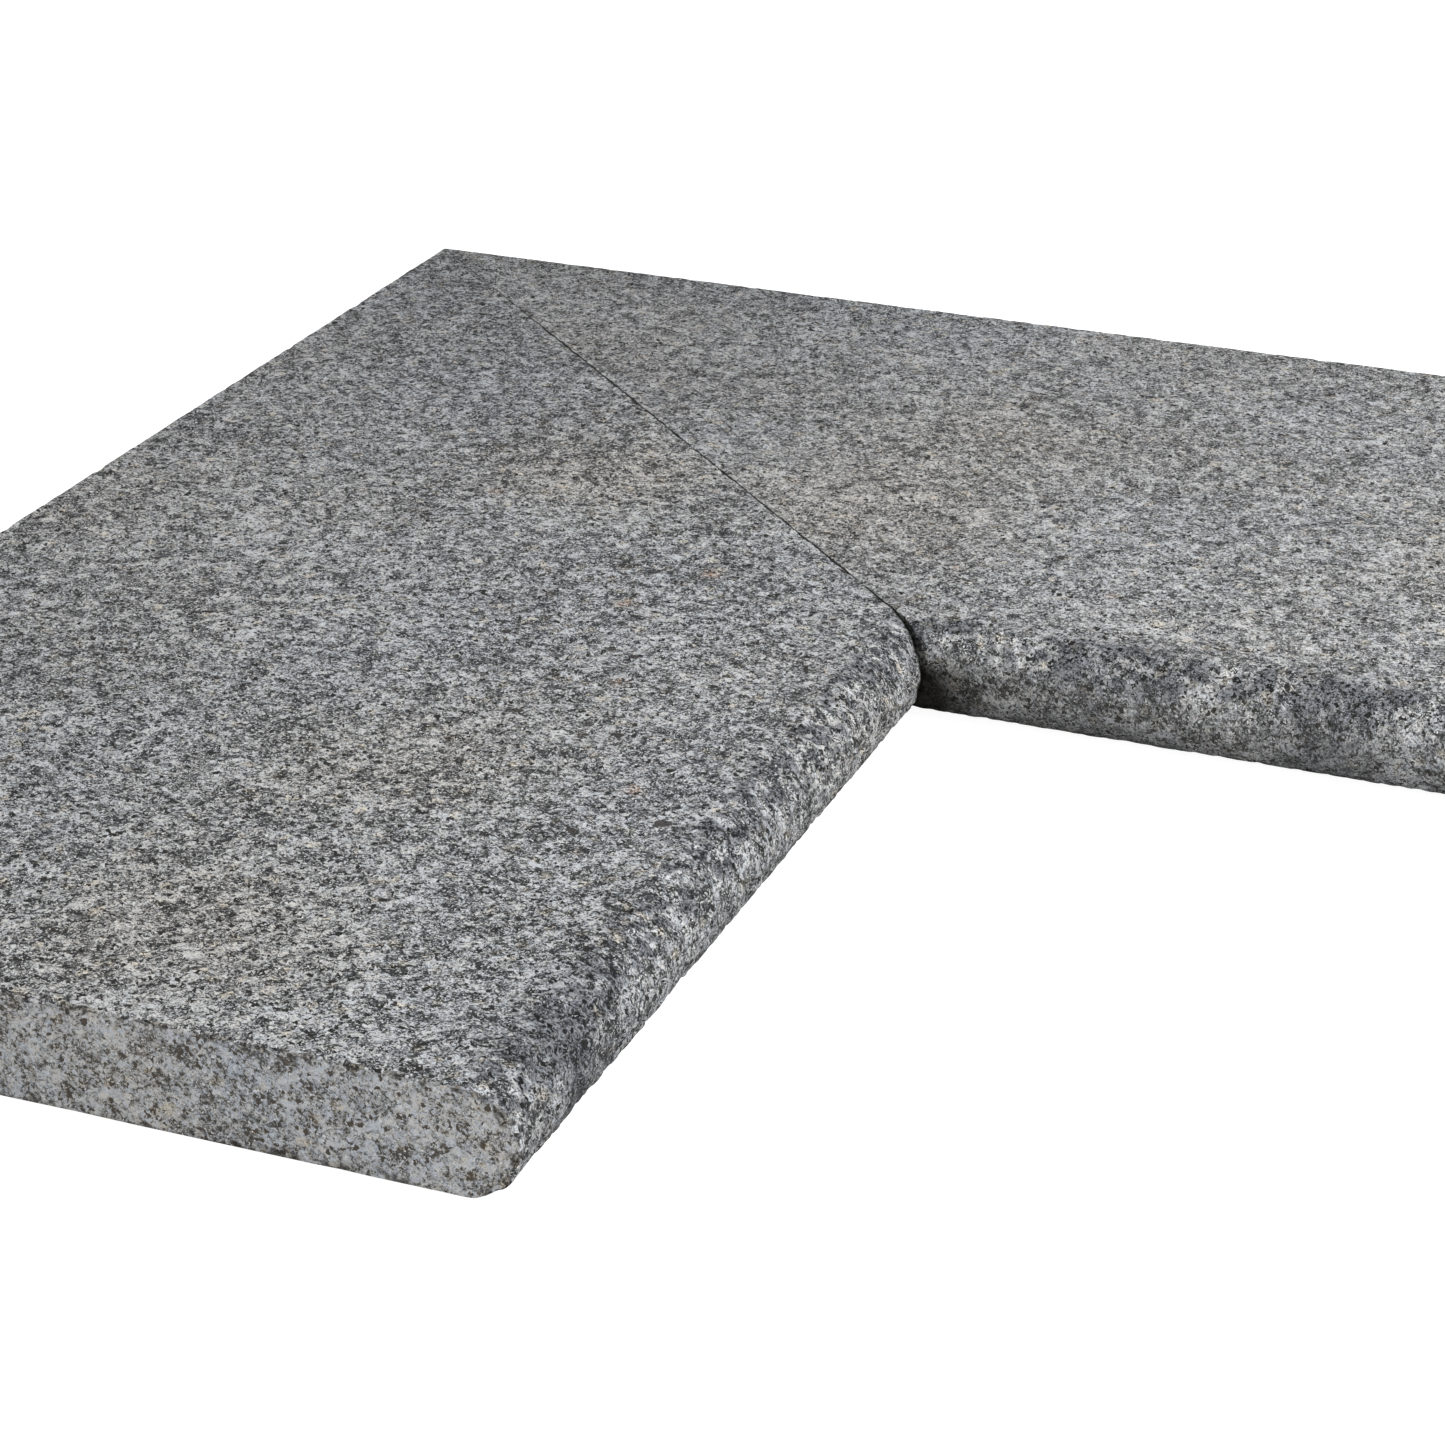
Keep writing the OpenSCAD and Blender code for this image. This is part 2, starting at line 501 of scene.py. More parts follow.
def graniteFinish(name, look, stone):
    # crystals, grains and crumbs are cells of random grey with ragged borders; the greys of the
    # scales are added up, moved by clusters and patches, and turned into mineral colours
    material = bpy.data.materials.new(name)
    material.use_nodes = True
    tree = material.node_tree
    tree.nodes.clear()
    nodes, links = tree.nodes, tree.links

    placeFrame = nodes.new("NodeFrame")
    placeFrame.label = "where the stone was cut from the block"
    cellFrame = nodes.new("NodeFrame")
    cellFrame.label = "crystals, grains and crumbs"
    patchFrame = nodes.new("NodeFrame")
    patchFrame.label = "clusters and patches"
    colourFrame = nodes.new("NodeFrame")
    colourFrame.label = "mineral colours"
    # this frame also holds the painted shade, in the film and silt nodes
    stainShadeFrame = nodes.new("NodeFrame")
    stainShadeFrame.label = "rust marks and grime"
    reliefFrame = nodes.new("NodeFrame")
    reliefFrame.label = "surface relief"

    coordinates = nodes.new("ShaderNodeTexCoord")
    coordinates.label = "slab position"
    coordinates.location = (-2400, 0)
    coordinates.parent = placeFrame

    block = nodes.new("ShaderNodeMapping")
    block.label = "place in the block"
    block.location = (-2200, 0)
    block.parent = placeFrame
    block.inputs["Location"].default_value = stone["blockPlace"]
    block.inputs["Rotation"].default_value = stone["blockTurn"]
    links.new(coordinates.outputs["Object"], block.inputs["Vector"])

    ragged = nodes.new("ShaderNodeTexNoise")
    ragged.label = "ragged borders"
    ragged.location = (-2000, -200)
    ragged.parent = placeFrame
    ragged.inputs["Scale"].default_value = 1.0 / look["grain"]
    ragged.inputs["Detail"].default_value = 3.0
    links.new(block.outputs["Vector"], ragged.inputs["Vector"])

    bend = nodes.new("ShaderNodeVectorMath")
    bend.label = "bend the borders"
    bend.operation = "MULTIPLY_ADD"
    bend.location = (-1800, 0)
    bend.parent = placeFrame
    bend.inputs[1].default_value = (look["grain"] * 1.5,) * 3
    links.new(ragged.outputs["Color"], bend.inputs[0])
    links.new(block.outputs["Vector"], bend.inputs[2])

    crystal = nodes.new("ShaderNodeTexVoronoi")
    crystal.label = "large crystals"
    crystal.location = (-1580, 500)
    crystal.parent = cellFrame
    crystal.inputs["Scale"].default_value = 1.0 / look["crystal"]
    links.new(bend.outputs["Vector"], crystal.inputs["Vector"])

    crystalGrey = nodes.new("ShaderNodeSeparateColor")
    crystalGrey.label = "a crystal's random grey"
    crystalGrey.location = (-1380, 500)
    crystalGrey.parent = cellFrame
    links.new(crystal.outputs["Color"], crystalGrey.inputs["Color"])

    grain = nodes.new("ShaderNodeTexVoronoi")
    grain.label = "small grains"
    grain.location = (-1580, 200)
    grain.parent = cellFrame
    grain.inputs["Scale"].default_value = 1.0 / look["grain"]
    links.new(bend.outputs["Vector"], grain.inputs["Vector"])

    grainGrey = nodes.new("ShaderNodeSeparateColor")
    grainGrey.label = "a grain's random grey and tint"
    grainGrey.location = (-1380, 200)
    grainGrey.parent = cellFrame
    links.new(grain.outputs["Color"], grainGrey.inputs["Color"])

    crumb = nodes.new("ShaderNodeTexVoronoi")
    crumb.label = "crumbs"
    crumb.location = (-1580, -100)
    crumb.parent = cellFrame
    crumb.inputs["Scale"].default_value = 1.0 / look["crumb"]
    links.new(bend.outputs["Vector"], crumb.inputs["Vector"])

    crumbGrey = nodes.new("ShaderNodeSeparateColor")
    crumbGrey.label = "a crumb's random grey"
    crumbGrey.location = (-1380, -100)
    crumbGrey.parent = cellFrame
    links.new(crumb.outputs["Color"], crumbGrey.inputs["Color"])

    speck = nodes.new("ShaderNodeTexVoronoi")
    speck.label = "specks"
    speck.location = (-1580, -400)
    speck.parent = cellFrame
    speck.inputs["Scale"].default_value = 1.0 / look["speck"]
    links.new(bend.outputs["Vector"], speck.inputs["Vector"])

    speckGrey = nodes.new("ShaderNodeSeparateColor")
    speckGrey.label = "a speck's random grey"
    speckGrey.location = (-1380, -400)
    speckGrey.parent = cellFrame
    links.new(speck.outputs["Color"], speckGrey.inputs["Color"])

    cluster = nodes.new("ShaderNodeTexNoise")
    cluster.label = "clusters of dark grains"
    cluster.location = (-1580, -700)
    cluster.parent = patchFrame
    cluster.inputs["Scale"].default_value = 1.0 / look["cluster"]
    cluster.inputs["Detail"].default_value = 4.0
    cluster.inputs["Roughness"].default_value = 0.6
    links.new(block.outputs["Vector"], cluster.inputs["Vector"])

    patch = nodes.new("ShaderNodeTexNoise")
    patch.label = "broad patches"
    patch.location = (-1580, -1000)
    patch.parent = patchFrame
    patch.inputs["Scale"].default_value = 1.0 / look["patch"]
    patch.inputs["Detail"].default_value = 3.0
    links.new(block.outputs["Vector"], patch.inputs["Vector"])

    # the shares are added one after another, starting so that an average point comes out at 0.5
    # plus the stone's own lightness
    names = ("crystalShare", "grainShare", "crumbShare", "speckShare", "clusterShare", "patchShare")
    share = {scale: look[scale] * stone["contrast"] for scale in names}
    addCrystal = nodes.new("ShaderNodeMath")
    addCrystal.label = "crystals' share"
    addCrystal.operation = "MULTIPLY_ADD"
    addCrystal.location = (-1100, 500)
    addCrystal.parent = cellFrame
    addCrystal.inputs[1].default_value = share["crystalShare"]
    addCrystal.inputs[2].default_value = 0.5 + stone["lightness"] - 0.5 * sum(share.values())
    links.new(crystalGrey.outputs["Red"], addCrystal.inputs[0])

    addGrain = nodes.new("ShaderNodeMath")
    addGrain.label = "add the grains"
    addGrain.operation = "MULTIPLY_ADD"
    addGrain.location = (-940, 300)
    addGrain.parent = cellFrame
    addGrain.inputs[1].default_value = share["grainShare"]
    links.new(grainGrey.outputs["Red"], addGrain.inputs[0])
    links.new(addCrystal.outputs["Value"], addGrain.inputs[2])

    addCrumb = nodes.new("ShaderNodeMath")
    addCrumb.label = "add the crumbs"
    addCrumb.operation = "MULTIPLY_ADD"
    addCrumb.location = (-780, 100)
    addCrumb.parent = cellFrame
    addCrumb.inputs[1].default_value = share["crumbShare"]
    links.new(crumbGrey.outputs["Red"], addCrumb.inputs[0])
    links.new(addGrain.outputs["Value"], addCrumb.inputs[2])

    addSpeck = nodes.new("ShaderNodeMath")
    addSpeck.label = "add the specks"
    addSpeck.operation = "MULTIPLY_ADD"
    addSpeck.location = (-620, -100)
    addSpeck.parent = cellFrame
    addSpeck.inputs[1].default_value = share["speckShare"]
    links.new(speckGrey.outputs["Red"], addSpeck.inputs[0])
    links.new(addCrumb.outputs["Value"], addSpeck.inputs[2])

    addCluster = nodes.new("ShaderNodeMath")
    addCluster.label = "gather the dark grains"
    addCluster.operation = "MULTIPLY_ADD"
    addCluster.location = (-460, -300)
    addCluster.parent = patchFrame
    addCluster.inputs[1].default_value = share["clusterShare"]
    links.new(cluster.outputs["Fac"], addCluster.inputs[0])
    links.new(addSpeck.outputs["Value"], addCluster.inputs[2])

    addPatch = nodes.new("ShaderNodeMath")
    addPatch.label = "shift the broad patches"
    addPatch.operation = "MULTIPLY_ADD"
    addPatch.location = (-300, -500)
    addPatch.parent = patchFrame
    addPatch.inputs[1].default_value = share["patchShare"]
    links.new(patch.outputs["Fac"], addPatch.inputs[0])
    links.new(addCluster.outputs["Value"], addPatch.inputs[2])

    greys = nodes.new("ShaderNodeValToRGB")
    greys.label = "black mica to white feldspar"
    greys.location = (-100, 300)
    greys.parent = colourFrame
    ramp = greys.color_ramp
    for number, (stop, colour) in enumerate(look["greys"]):
        element = ramp.elements[number] if number < 2 else ramp.elements.new(stop)
        element.position = stop
        element.color = (*colour, 1.0)
    links.new(addPatch.outputs["Value"], greys.inputs["Fac"])

    ageing = nodes.new("ShaderNodeTexNoise")
    ageing.label = "warm and cool areas"
    ageing.location = (-800, -800)
    ageing.parent = patchFrame
    ageing.inputs["Scale"].default_value = 0.8 / look["patch"]
    ageing.inputs["Detail"].default_value = 4.0
    links.new(bend.outputs["Vector"], ageing.inputs["Vector"])

    grainWarmth = nodes.new("ShaderNodeMath")
    grainWarmth.label = "a grain's warmth"
    grainWarmth.operation = "MULTIPLY_ADD"
    grainWarmth.location = (-600, -700)
    grainWarmth.parent = patchFrame
    grainWarmth.inputs[1].default_value = look["grainTint"]
    grainWarmth.inputs[2].default_value = 0.5 - 0.5 * (look["grainTint"] + look["patchTint"])
    links.new(grainGrey.outputs["Green"], grainWarmth.inputs[0])

    warmth = nodes.new("ShaderNodeMath")
    warmth.label = "add the area's warmth"
    warmth.operation = "MULTIPLY_ADD"
    warmth.location = (-440, -800)
    warmth.parent = patchFrame
    warmth.inputs[1].default_value = look["patchTint"]
    links.new(ageing.outputs["Fac"], warmth.inputs[0])
    links.new(grainWarmth.outputs["Value"], warmth.inputs[2])

    warmShare = nodes.new("ShaderNodeAttribute")
    warmShare.label = "beige zones"
    warmShare.attribute_name = "warmth"
    warmShare.location = (-600, -950)
    warmShare.parent = patchFrame

    allWarmth = nodes.new("ShaderNodeMath")
    allWarmth.label = "add the beige zones"
    allWarmth.location = (-280, -850)
    allWarmth.parent = patchFrame
    links.new(warmth.outputs["Value"], allWarmth.inputs[0])
    links.new(warmShare.outputs["Fac"], allWarmth.inputs[1])

    tint = nodes.new("ShaderNodeMix")
    tint.label = "cool to warm"
    tint.data_type = "RGBA"
    tint.location = (-100, -100)
    tint.parent = colourFrame
    tint.inputs["A"].default_value = (*look["coolTint"], 1.0)
    tint.inputs["B"].default_value = (*look["warmTint"], 1.0)
    links.new(allWarmth.outputs["Value"], tint.inputs["Factor"])

    tinted = nodes.new("ShaderNodeMix")
    tinted.label = "tint the greys"
    tinted.data_type = "RGBA"
    tinted.blend_type = "MULTIPLY"
    tinted.location = (200, 200)
    tinted.parent = colourFrame
    tinted.inputs["Factor"].default_value = 1.0
    links.new(greys.outputs["Color"], tinted.inputs["A"])
    links.new(tint.outputs["Result"], tinted.inputs["B"])

    micaHere = nodes.new("ShaderNodeMath")
    micaHere.label = "which crumbs are mica"
    micaHere.operation = "GREATER_THAN"
    micaHere.location = (0, 650)
    micaHere.parent = colourFrame
    micaHere.inputs[1].default_value = 1.0 - look["micaChance"]
    links.new(crumbGrey.outputs["Green"], micaHere.inputs[0])

    bookHere = nodes.new("ShaderNodeMath")
    bookHere.label = "which grains are mica books"
    bookHere.operation = "GREATER_THAN"
    bookHere.location = (0, 850)
    bookHere.parent = colourFrame
    bookHere.inputs[1].default_value = 1.0 - look["bookChance"]
    links.new(grainGrey.outputs["Blue"], bookHere.inputs[0])

    allMica = nodes.new("ShaderNodeMath")
    allMica.label = "all the mica"
    allMica.operation = "MAXIMUM"
    allMica.location = (200, 850)
    allMica.parent = colourFrame
    links.new(micaHere.outputs["Value"], allMica.inputs[0])
    links.new(bookHere.outputs["Value"], allMica.inputs[1])

    flecked = nodes.new("ShaderNodeMix")
    flecked.label = "black mica flakes"
    flecked.data_type = "RGBA"
    flecked.location = (400, 450)
    flecked.parent = colourFrame
    flecked.inputs["B"].default_value = (*look["micaColour"], 1.0)
    links.new(allMica.outputs["Value"], flecked.inputs["Factor"])
    links.new(tinted.outputs["Result"], flecked.inputs["A"])

    glintHere = nodes.new("ShaderNodeMath")
    glintHere.label = "which specks are fresh feldspar"
    glintHere.operation = "GREATER_THAN"
    glintHere.location = (200, 650)
    glintHere.parent = colourFrame
    glintHere.inputs[1].default_value = 1.0 - look["glintChance"]
    links.new(speckGrey.outputs["Green"], glintHere.inputs[0])

    glinting = nodes.new("ShaderNodeMix")
    glinting.label = "white feldspar"
    glinting.data_type = "RGBA"
    glinting.location = (600, 450)
    glinting.parent = colourFrame
    glinting.inputs["B"].default_value = (*stainsAndShade["glintColour"], 1.0)
    links.new(glintHere.outputs["Value"], glinting.inputs["Factor"])
    links.new(flecked.outputs["Result"], glinting.inputs["A"])

    inclusion = nodes.new("ShaderNodeTexVoronoi")
    inclusion.label = "places of the dark inclusions"
    inclusion.location = (200, 1100)
    inclusion.parent = colourFrame
    inclusion.inputs["Scale"].default_value = 1.0 / look["inclusion"]
    links.new(bend.outputs["Vector"], inclusion.inputs["Vector"])

    inclusionSize = nodes.new("ShaderNodeSeparateColor")
    inclusionSize.label = "an inclusion's random size"
    inclusionSize.location = (400, 1200)
    inclusionSize.parent = colourFrame
    links.new(inclusion.outputs["Color"], inclusionSize.inputs["Color"])

    inclusionReach = nodes.new("ShaderNodeMath")
    inclusionReach.label = "how far it reaches"
    inclusionReach.operation = "MULTIPLY_ADD"
    inclusionReach.location = (600, 1200)
    inclusionReach.parent = colourFrame
    inclusionReach.inputs[1].default_value = look["inclusionReach"]
    inclusionReach.inputs[2].default_value = -0.45 * look["inclusionReach"]
    links.new(inclusionSize.outputs["Red"], inclusionReach.inputs[0])

    markShare = nodes.new("ShaderNodeAttribute")
    markShare.label = "brown marks"
    markShare.attribute_name = "mark"
    markShare.location = (200, 900)
    markShare.parent = colourFrame

    marked = nodes.new("ShaderNodeMath")
    marked.label = "draw the inclusions to the marks"
    marked.operation = "SUBTRACT"
    marked.location = (400, 1000)
    marked.parent = colourFrame
    links.new(inclusion.outputs["Distance"], marked.inputs[0])
    links.new(markShare.outputs["Fac"], marked.inputs[1])

    inclusionEdge = nodes.new("ShaderNodeMath")
    inclusionEdge.label = "crumbled outline"
    inclusionEdge.operation = "MULTIPLY_ADD"
    inclusionEdge.location = (600, 1000)
    inclusionEdge.parent = colourFrame
    inclusionEdge.inputs[1].default_value = stainsAndShade["inclusionCrumble"]
    links.new(crumbGrey.outputs["Blue"], inclusionEdge.inputs[0])
    links.new(marked.outputs["Value"], inclusionEdge.inputs[2])

    inclusionHere = nodes.new("ShaderNodeMath")
    inclusionHere.label = "inside an inclusion"
    inclusionHere.operation = "LESS_THAN"
    inclusionHere.location = (800, 1100)
    inclusionHere.parent = colourFrame
    links.new(inclusionEdge.outputs["Value"], inclusionHere.inputs[0])
    links.new(inclusionReach.outputs["Value"], inclusionHere.inputs[1])

    inclusionShare = nodes.new("ShaderNodeMath")
    inclusionShare.label = "some stone still shows in it"
    inclusionShare.operation = "MULTIPLY"
    inclusionShare.location = (960, 1100)
    inclusionShare.parent = colourFrame
    inclusionShare.inputs[1].default_value = stainsAndShade["inclusionShare"]
    links.new(inclusionHere.outputs["Value"], inclusionShare.inputs[0])

    included = nodes.new("ShaderNodeMix")
    included.label = "dark brown inclusions"
    included.data_type = "RGBA"
    included.location = (1120, 800)
    included.parent = colourFrame
    included.inputs["B"].default_value = (*look["inclusionColour"], 1.0)
    links.new(inclusionShare.outputs["Value"], included.inputs["Factor"])
    links.new(glinting.outputs["Result"], included.inputs["A"])

    beigeHere = nodes.new("ShaderNodeMath")
    beigeHere.label = "which crystals are beige feldspar"
    beigeHere.operation = "GREATER_THAN"
    beigeHere.location = (600, 1450)
    beigeHere.parent = colourFrame
    beigeHere.inputs[1].default_value = 1.0 - look["beigeChance"]
    links.new(crystalGrey.outputs["Green"], beigeHere.inputs[0])

    beiged = nodes.new("ShaderNodeMix")
    beiged.label = "beige feldspar"
    beiged.data_type = "RGBA"
    beiged.blend_type = "MULTIPLY"
    beiged.location = (1320, 800)
    beiged.parent = colourFrame
    beiged.inputs["B"].default_value = (*look["beigeTint"], 1.0)
    links.new(beigeHere.outputs["Value"], beiged.inputs["Factor"])
    links.new(included.outputs["Result"], beiged.inputs["A"])

    rustShare = nodes.new("ShaderNodeAttribute")
    rustShare.label = "where iron rusts"
    rustShare.attribute_name = "rust"
    rustShare.location = (-800, -1200)
    rustShare.parent = stainShadeFrame

    rustEdge = nodes.new("ShaderNodeMath")
    rustEdge.label = "crystals take it unevenly"
    rustEdge.operation = "MULTIPLY"
    rustEdge.location = (-600, -1200)
    rustEdge.parent = stainShadeFrame
    links.new(rustShare.outputs["Fac"], rustEdge.inputs[0])
    links.new(crumbGrey.outputs["Blue"], rustEdge.inputs[1])

    rustStrength = nodes.new("ShaderNodeMapRange")
    rustStrength.label = "how rusty"
    rustStrength.location = (-440, -1200)
    rustStrength.parent = stainShadeFrame
    rustStrength.inputs["From Min"].default_value = stainsAndShade["rustLimits"][0]
    rustStrength.inputs["From Max"].default_value = stainsAndShade["rustLimits"][1]
    links.new(rustEdge.outputs["Value"], rustStrength.inputs["Value"])

    rusted = nodes.new("ShaderNodeMix")
    rusted.label = "rust marks"
    rusted.data_type = "RGBA"
    rusted.blend_type = "MULTIPLY"
    rusted.location = (400, 100)
    rusted.parent = stainShadeFrame
    rusted.inputs["B"].default_value = (*stainsAndShade["rustTint"], 1.0)
    links.new(rustStrength.outputs["Result"], rusted.inputs["Factor"])
    links.new(beiged.outputs["Result"], rusted.inputs["A"])

    # the film attribute also holds painted shade, darkest on the top at the back corner by the mitre
    filmShadeShare = nodes.new("ShaderNodeAttribute")
    filmShadeShare.label = "where the film lies"
    filmShadeShare.attribute_name = "filmAndShade"
    filmShadeShare.location = (400, -200)
    filmShadeShare.parent = stainShadeFrame

    filmShaded = nodes.new("ShaderNodeMix")
    filmShaded.label = "dark film on the nose"
    filmShaded.data_type = "RGBA"
    filmShaded.blend_type = "MULTIPLY"
    filmShaded.location = (600, 100)
    filmShaded.parent = stainShadeFrame
    filmShaded.inputs["B"].default_value = (*stainsAndShade["filmShadeColour"], 1.0)
    links.new(filmShadeShare.outputs["Fac"], filmShaded.inputs["Factor"])
    links.new(rusted.outputs["Result"], filmShaded.inputs["A"])

    dustShare = nodes.new("ShaderNodeAttribute")
    dustShare.label = "where dust lies"
    dustShare.attribute_name = "dust"
    dustShare.location = (600, 350)
    dustShare.parent = stainShadeFrame

    dusted = nodes.new("ShaderNodeMix")
    dusted.label = "olive dust under the nose"
    dusted.data_type = "RGBA"
    dusted.location = (700, 250)
    dusted.parent = stainShadeFrame
    dusted.inputs["B"].default_value = (*stainsAndShade["dustColour"], 1.0)
    links.new(dustShare.outputs["Fac"], dusted.inputs["Factor"])
    links.new(filmShaded.outputs["Result"], dusted.inputs["A"])

    # painted shade low on the nose near the mitre and under it, and silt with painted shade in the joint
    shadeSiltShare = nodes.new("ShaderNodeAttribute")
    shadeSiltShare.label = "where silt gathers"
    shadeSiltShare.attribute_name = "shadeAndSilt"
    shadeSiltShare.location = (600, -200)
    shadeSiltShare.parent = stainShadeFrame

    shadedAndSilted = nodes.new("ShaderNodeMix")
    shadedAndSilted.label = "silt in the corner and the joint"
    shadedAndSilted.data_type = "RGBA"
    shadedAndSilted.blend_type = "MULTIPLY"
    shadedAndSilted.location = (800, 100)
    shadedAndSilted.parent = stainShadeFrame
    shadedAndSilted.inputs["B"].default_value = (*stainsAndShade["shadeSiltColour"], 1.0)
    links.new(shadeSiltShare.outputs["Fac"], shadedAndSilted.inputs["Factor"])
    links.new(dusted.outputs["Result"], shadedAndSilted.inputs["A"])

    breaks = nodes.new("ShaderNodeTexNoise")
    breaks.label = "crumbled arris"
    breaks.location = (600, -500)
    breaks.parent = stainShadeFrame
    breaks.inputs["Scale"].default_value = 1.0 / stainsAndShade["breakSize"]
    breaks.inputs["Detail"].default_value = 4.0
    links.new(block.outputs["Vector"], breaks.inputs["Vector"])

    breakShare = nodes.new("ShaderNodeAttribute")
    breakShare.label = "how near the arris"
    breakShare.attribute_name = "broken"
    breakShare.location = (600, -750)
    breakShare.parent = stainShadeFrame

    breakHere = nodes.new("ShaderNodeMath")
    breakHere.label = "ragged edge of the breaks"
    breakHere.operation = "ADD"
    breakHere.location = (800, -600)
    breakHere.parent = stainShadeFrame
    links.new(breaks.outputs["Fac"], breakHere.inputs[0])
    links.new(breakShare.outputs["Fac"], breakHere.inputs[1])

    breakStrength = nodes.new("ShaderNodeMapRange")
    breakStrength.label = "sharpen the breaks"
    breakStrength.location = (1000, -600)
    breakStrength.parent = stainShadeFrame
    breakStrength.inputs["From Min"].default_value = stainsAndShade["breakLimits"][0]
    breakStrength.inputs["From Max"].default_value = stainsAndShade["breakLimits"][1]
    breakStrength.inputs["To Max"].default_value = stainsAndShade["breakShare"]
    links.new(breakHere.outputs["Value"], breakStrength.inputs["Value"])

    breakColour = nodes.new("ShaderNodeValToRGB")
    breakColour.label = "brown and beige crumbs"
    breakColour.location = (800, -300)
    breakColour.parent = stainShadeFrame
    crumbStops = zip(breakColour.color_ramp.elements, (stainsAndShade["brownCrumbs"], stainsAndShade["beigeCrumbs"]))
    for element, (position, colour) in crumbStops:
        element.position = position
        element.color = (*colour, 1.0)
    links.new(crumbGrey.outputs["Red"], breakColour.inputs["Fac"])

    crumbled = nodes.new("ShaderNodeMix")
    crumbled.label = "crumbled arris colours"
    crumbled.data_type = "RGBA"
    crumbled.location = (1200, 100)
    crumbled.parent = stainShadeFrame
    links.new(breakStrength.outputs["Result"], crumbled.inputs["Factor"])
    links.new(shadedAndSilted.outputs["Result"], crumbled.inputs["A"])
    links.new(breakColour.outputs["Color"], crumbled.inputs["B"])

    flake = nodes.new("ShaderNodeTexNoise")
    flake.label = "flaked hollows"
    flake.location = (500, -1000)
    flake.parent = reliefFrame
    flake.inputs["Scale"].default_value = 1.0 / look["flake"]
    flake.inputs["Detail"].default_value = 2.0
    links.new(block.outputs["Vector"], flake.inputs["Vector"])

    flakeBump = nodes.new("ShaderNodeBump")
    flakeBump.label = "hollows"
    flakeBump.location = (800, -1000)
    flakeBump.parent = reliefFrame
    flakeBump.inputs["Distance"].default_value = look["flakeDepth"]
    links.new(flake.outputs["Fac"], flakeBump.inputs["Height"])

    bump = nodes.new("ShaderNodeBump")
    bump.label = "flaked grains"
    bump.location = (1100, -1000)
    bump.parent = reliefFrame
    bump.inputs["Distance"].default_value = look["bumpDepth"]
    links.new(addCrumb.outputs["Value"], bump.inputs["Height"])
    links.new(flakeBump.outputs["Normal"], bump.inputs["Normal"])

    rough = nodes.new("ShaderNodeMapRange")
    rough.label = "glossier mica"
    rough.location = (1100, -1300)
    rough.parent = reliefFrame
    rough.inputs["To Min"].default_value = look["roughness"][0]
    rough.inputs["To Max"].default_value = look["roughness"][1]
    links.new(addPatch.outputs["Value"], rough.inputs["Value"])

    shader = nodes.new("ShaderNodeBsdfPrincipled")
    shader.label = "stone"
    shader.location = (1500, 0)
    shader.inputs["Specular IOR Level"].default_value = stainsAndShade["sheen"]
    links.new(crumbled.outputs["Result"], shader.inputs["Base Color"])
    links.new(rough.outputs["Result"], shader.inputs["Roughness"])
    links.new(bump.outputs["Normal"], shader.inputs["Normal"])

    output = nodes.new("ShaderNodeOutputMaterial")
    output.label = "surface"
    output.location = (1800, 0)
    links.new(shader.outputs["BSDF"], output.inputs["Surface"])
    return material


leftStone = {
    "name": "leftStone",
    "node": "left_slab",
    "handed": False,
    "seed": 11,
    "blockPlace": (0.0, 0.0, 0.0),
    "blockTurn": (0.2, 0.1, 0.0),
    "filmAndShade": 1.05,
    "filmWave": (0.0035, 0.015),  # size of the film's patches
    # painted shade low on the nose near the mitre and under it
    "shadeAndSilt": 0.30,
    "shadeSiltReach": 0.006,
    "underShade": 0.0,
    "underShadeReach": 0.05,
    "contrast": 1.56,
    "relief": 1.15,
    "lightness": 0.0,
    "dust": 0.05,
    "noseShade": {"count": 4, "behind": (0.01, 0.03), "along": (0.0, 0.3), "radius": (0.007, 0.012),
                  "strength": (0.5, 0.8)},  # darker patches on the shoulder
    "cornerShade": (0.16, 0.28),  # radius and strength of the darker corner at the back of the mitre
    "rustMarks": {"count": 5, "behind": (0.1, 0.6), "along": (0.3, 0.9), "radius": (0.0025, 0.0035),
                  "strength": (0.35, 0.9)},
    "warmZones": {"count": 4, "behind": (0.2, 0.7), "along": (0.05, 0.9), "radius": (0.03, 0.04),
                  "strength": (0.2, 0.6)},
    "brownMarks": {"count": 7, "behind": (0.05, 0.4), "along": (0.35, 0.7), "radius": (0.0013, 0.0016),
                   "strength": (1.5, 2.6)},
}
rightStone = {
    "name": "rightStone",
    "node": "right_slab",
    "handed": True,
    "seed": 37,
    "blockPlace": (1.3, 0.7, 0.4),
    "blockTurn": (0.1, -0.2, 0.5),
    "filmAndShade": 1.15,
    "filmWave": (0.004, 0.020),
    # painted shade low on the nose near the mitre and under it
    "shadeAndSilt": 0.90,
    "shadeSiltReach": 0.016,
    "underShade": 0.38,
    "underShadeReach": 0.060,
    "contrast": 1.10,
    "relief": 0.8,
    "lightness": 0.018,
    "dust": 0.17,
    "noseShade": {"count": 4, "behind": (0.01, 0.03), "along": (0.45, 0.95), "radius": (0.009, 0.014),
                  "strength": (0.45, 0.6)},
    "cornerShade": (0.20, 0.30),
    "rustMarks": {"count": 3, "behind": (0.02, 0.3), "along": (0.5, 0.95), "radius": (0.0018, 0.003),
                  "strength": (0.4, 0.5)},
    "warmZones": {"count": 3, "behind": (0.3, 0.6), "along": (0.2, 0.95), "radius": (0.04, 0.05),
                  "strength": (0.25, 0.4)},
    "brownMarks": {"count": 2, "behind": (0.2, 0.4), "along": (0.55, 0.75), "radius": (0.0015, 0.0018),
                   "strength": (1.5, 1.6)},
}

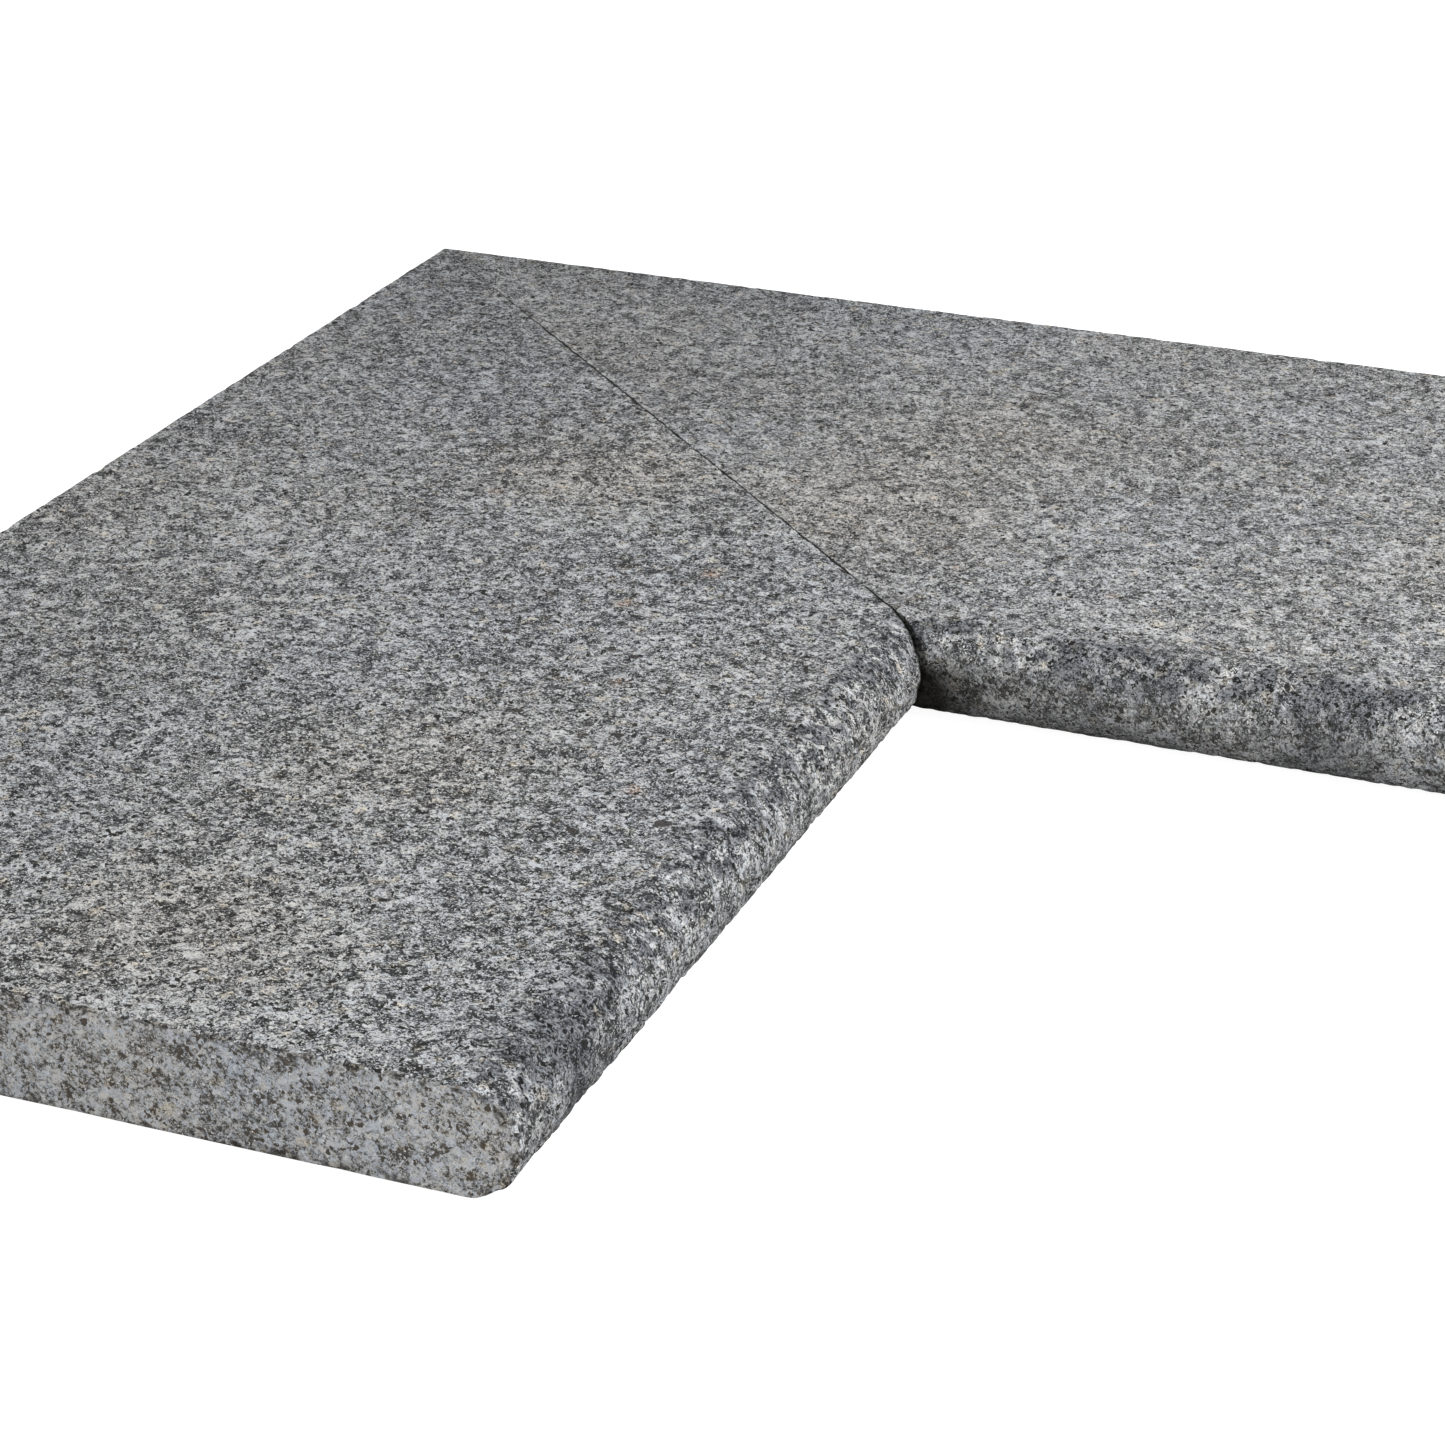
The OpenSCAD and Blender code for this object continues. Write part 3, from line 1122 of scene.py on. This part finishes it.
for stone in (leftStone, rightStone):
    slab = buildSlab(stone, slabGrid, slabWear, slabDirtAndShade)
    slab.data.materials.append(graniteFinish(stone["name"] + "Flamed", flamedLook, stone))
    slab.data.materials.append(graniteFinish(stone["name"] + "Sawn", sawnLook, stone))
    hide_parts(stone["node"])
    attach(slab, stone["node"])
print("stones finished")

# studio
studio = {
    "floorSize": 12.0,
    "floorDrop": 0.0002,  # keeps the floor just under the bed
    "floorGrey": 0.45,  # what the floor gives back to the stone
    "floorWhite": 0.92,  # added to what the camera sees of it
    "sky": 0.50,
}

softboxes = {
    "sideBox": {"place": (0.55, -0.10, 0.80), "size": 0.6, "power": 7.2},
    "frontBox": {"place": (1.30, -1.70, 0.35), "size": 0.7, "power": 14.5},
}

floorMesh = bpy.data.meshes.new("floor")
half = studio["floorSize"] / 2.0
floorMesh.from_pydata([(-half, -half, 0.0), (half, -half, 0.0), (half, half, 0.0), (-half, half, 0.0)], [],
                      [(0, 1, 2, 3)])
floor = bpy.data.objects.new("floor", floorMesh)
floor.location.z = -studio["floorDrop"]
bpy.context.scene.collection.objects.link(floor)

floorPaint = bpy.data.materials.new("floorPaint")
floorPaint.use_nodes = True
floorNodes, floorLinks = floorPaint.node_tree.nodes, floorPaint.node_tree.links
floorNodes.clear()
matt = floorNodes.new("ShaderNodeBsdfDiffuse")
matt.label = "matt paint"
matt.location = (-400, 100)
matt.inputs["Color"].default_value = (studio["floorGrey"],) * 3 + (1.0,)
glow = floorNodes.new("ShaderNodeEmission")
glow.label = "white of the sweep"
glow.location = (-400, -100)
glow.inputs["Strength"].default_value = studio["floorWhite"]
seen = floorNodes.new("ShaderNodeLightPath")
seen.label = "seen directly"
seen.location = (-400, 450)
both = floorNodes.new("ShaderNodeAddShader")
both.label = "paint and glow"
both.location = (-200, 0)
pick = floorNodes.new("ShaderNodeMixShader")
pick.label = "glow for the eye only"
pick.location = (0, 100)
floorOut = floorNodes.new("ShaderNodeOutputMaterial")
floorOut.label = "floor surface"
floorOut.location = (200, 100)
floorLinks.new(matt.outputs["BSDF"], both.inputs[0])
floorLinks.new(glow.outputs["Emission"], both.inputs[1])
floorLinks.new(seen.outputs["Is Camera Ray"], pick.inputs["Fac"])
floorLinks.new(matt.outputs["BSDF"], pick.inputs[1])
floorLinks.new(both.outputs["Shader"], pick.inputs[2])
floorLinks.new(pick.outputs["Shader"], floorOut.inputs["Surface"])
floorMesh.materials.append(floorPaint)

world = bpy.data.worlds.new("studioSky")
world.use_nodes = True
skyNodes, skyLinks = world.node_tree.nodes, world.node_tree.links
skyNodes.clear()
dome = skyNodes.new("ShaderNodeBackground")
dome.label = "soft dome"
dome.location = (-200, 100)
dome.inputs["Color"].default_value = (0.97, 0.985, 1.0, 1.0)
dome.inputs["Strength"].default_value = studio["sky"]
white = skyNodes.new("ShaderNodeBackground")
white.label = "white backdrop"
white.location = (-200, -100)
white.inputs["Color"].default_value = (1.0, 1.0, 1.0, 1.0)
seenSky = skyNodes.new("ShaderNodeLightPath")
seenSky.label = "seen directly"
seenSky.location = (-200, 450)
pickSky = skyNodes.new("ShaderNodeMixShader")
pickSky.label = "white for the eye only"
pickSky.location = (0, 100)
skyOut = skyNodes.new("ShaderNodeOutputWorld")
skyOut.label = "sky"
skyOut.location = (200, 100)
skyLinks.new(seenSky.outputs["Is Camera Ray"], pickSky.inputs["Fac"])
skyLinks.new(dome.outputs["Background"], pickSky.inputs[1])
skyLinks.new(white.outputs["Background"], pickSky.inputs[2])
skyLinks.new(pickSky.outputs["Shader"], skyOut.inputs["Surface"])
bpy.context.scene.world = world

for boxName, box in softboxes.items():
    boxData = bpy.data.lights.new(boxName, "AREA")
    boxData.shape = "SQUARE"
    boxData.size = box["size"]
    boxData.energy = box["power"]
    softbox = bpy.data.objects.new(boxName, boxData)
    softbox.location = box["place"]
    softbox.rotation_euler = (-softbox.location).to_track_quat("-Z", "Y").to_euler()
    bpy.context.scene.collection.objects.link(softbox)
print("studio lit")
